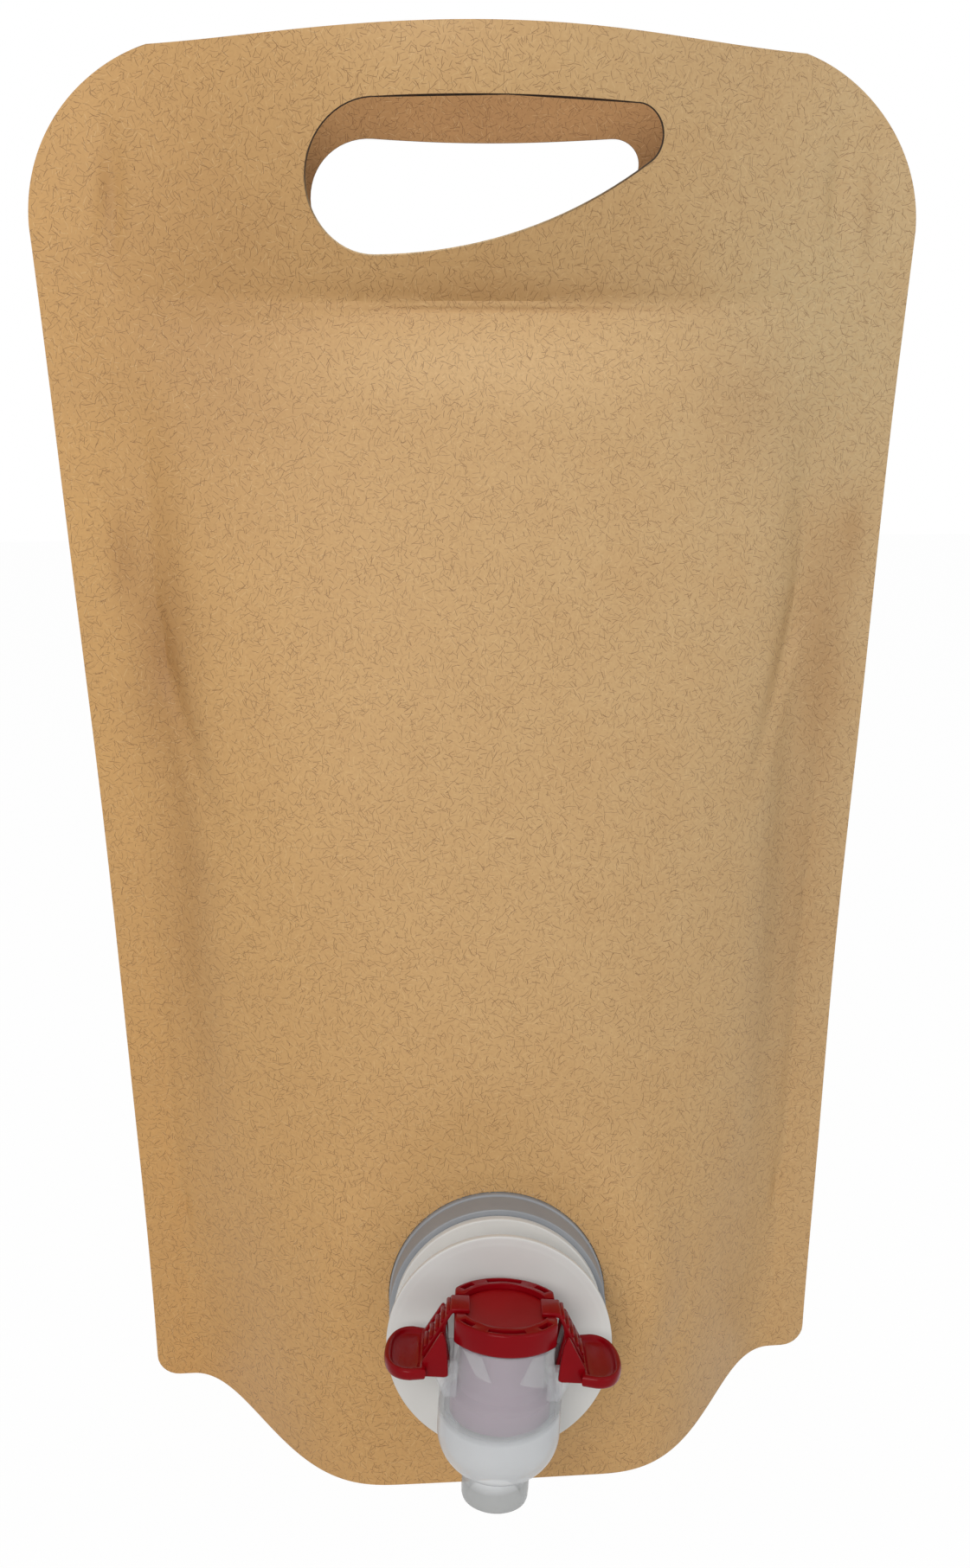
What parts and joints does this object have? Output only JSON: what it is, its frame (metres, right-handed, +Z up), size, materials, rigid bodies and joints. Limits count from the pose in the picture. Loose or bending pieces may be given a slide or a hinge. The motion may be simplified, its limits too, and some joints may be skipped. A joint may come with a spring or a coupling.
{
  "type": "kraft stand-up pouch with push tap",
  "caption": "Stand-up liquid pouch in kraft-look laminate with a die-cut hand hole, a welded grey gland and a push tap with red finger wings.",
  "frame": {"origin": "under the middle of the whole object's box, on the surface the pouch stands on", "axes": "+Z up, -Y towards the tap and the viewer, +X to the viewer's right"},
  "size_m": [0.1918, 0.136, 0.3163],
  "materials": {
    "kraft_laminate": "printed kraft, matt",
    "grey_gland": "moulded, satin",
    "milky_plastic": "natural, translucent",
    "red_plastic": "moulded, glossy",
    "valve_plastic": "moulded",
    "seal_elastomer": "matt"
  },
  "bodies": {
    "pouch": {"pouch": "kraft_laminate", "gland": "grey_gland"},
    "tap": {"tap_body": "milky_plastic", "cap_ring": "red_plastic", "diaphragm": "seal_elastomer"},
    "button": {"press_button": "red_plastic", "valve_stem": "valve_plastic", "valve_plug": "seal_elastomer"},
    "left_wing": {"left_wing": "red_plastic"},
    "right_wing": {"right_wing": "red_plastic"}
  },
  "joints": [
    {"name": "tap_swivel", "type": "hinge", "parent": "pouch", "child": "tap", "pos_m": [-0.00116, -0.04009, 0.0505], "axis": [-0.0518, -0.9889, 0.1392], "continuous": true},
    {"name": "button_press", "type": "slide", "parent": "tap", "child": "button", "axis": [-0.0682, -0.1355, -0.9884], "range_m": [0, 0.0016], "stiffness_N_per_m": 100},
    {"name": "left_wing_lift", "type": "hinge", "parent": "tap", "child": "left_wing", "pos_m": [-0.01443, -0.0526, 0.05941], "axis": [0.0518, 0.9889, -0.1392], "range_deg": [0, 12]},
    {"name": "right_wing_lift", "type": "hinge", "parent": "tap", "child": "right_wing", "pos_m": [0.01148, -0.05418, 0.05784], "axis": [-0.0518, -0.9889, 0.1392], "range_deg": [0, 12.1]}
  ],
  "couplings": [
    {"joint": "left_wing_lift", "follows": "button_press", "rad_per_m": 130.8},
    {"joint": "right_wing_lift", "follows": "button_press", "rad_per_m": 130.8}
  ]
}
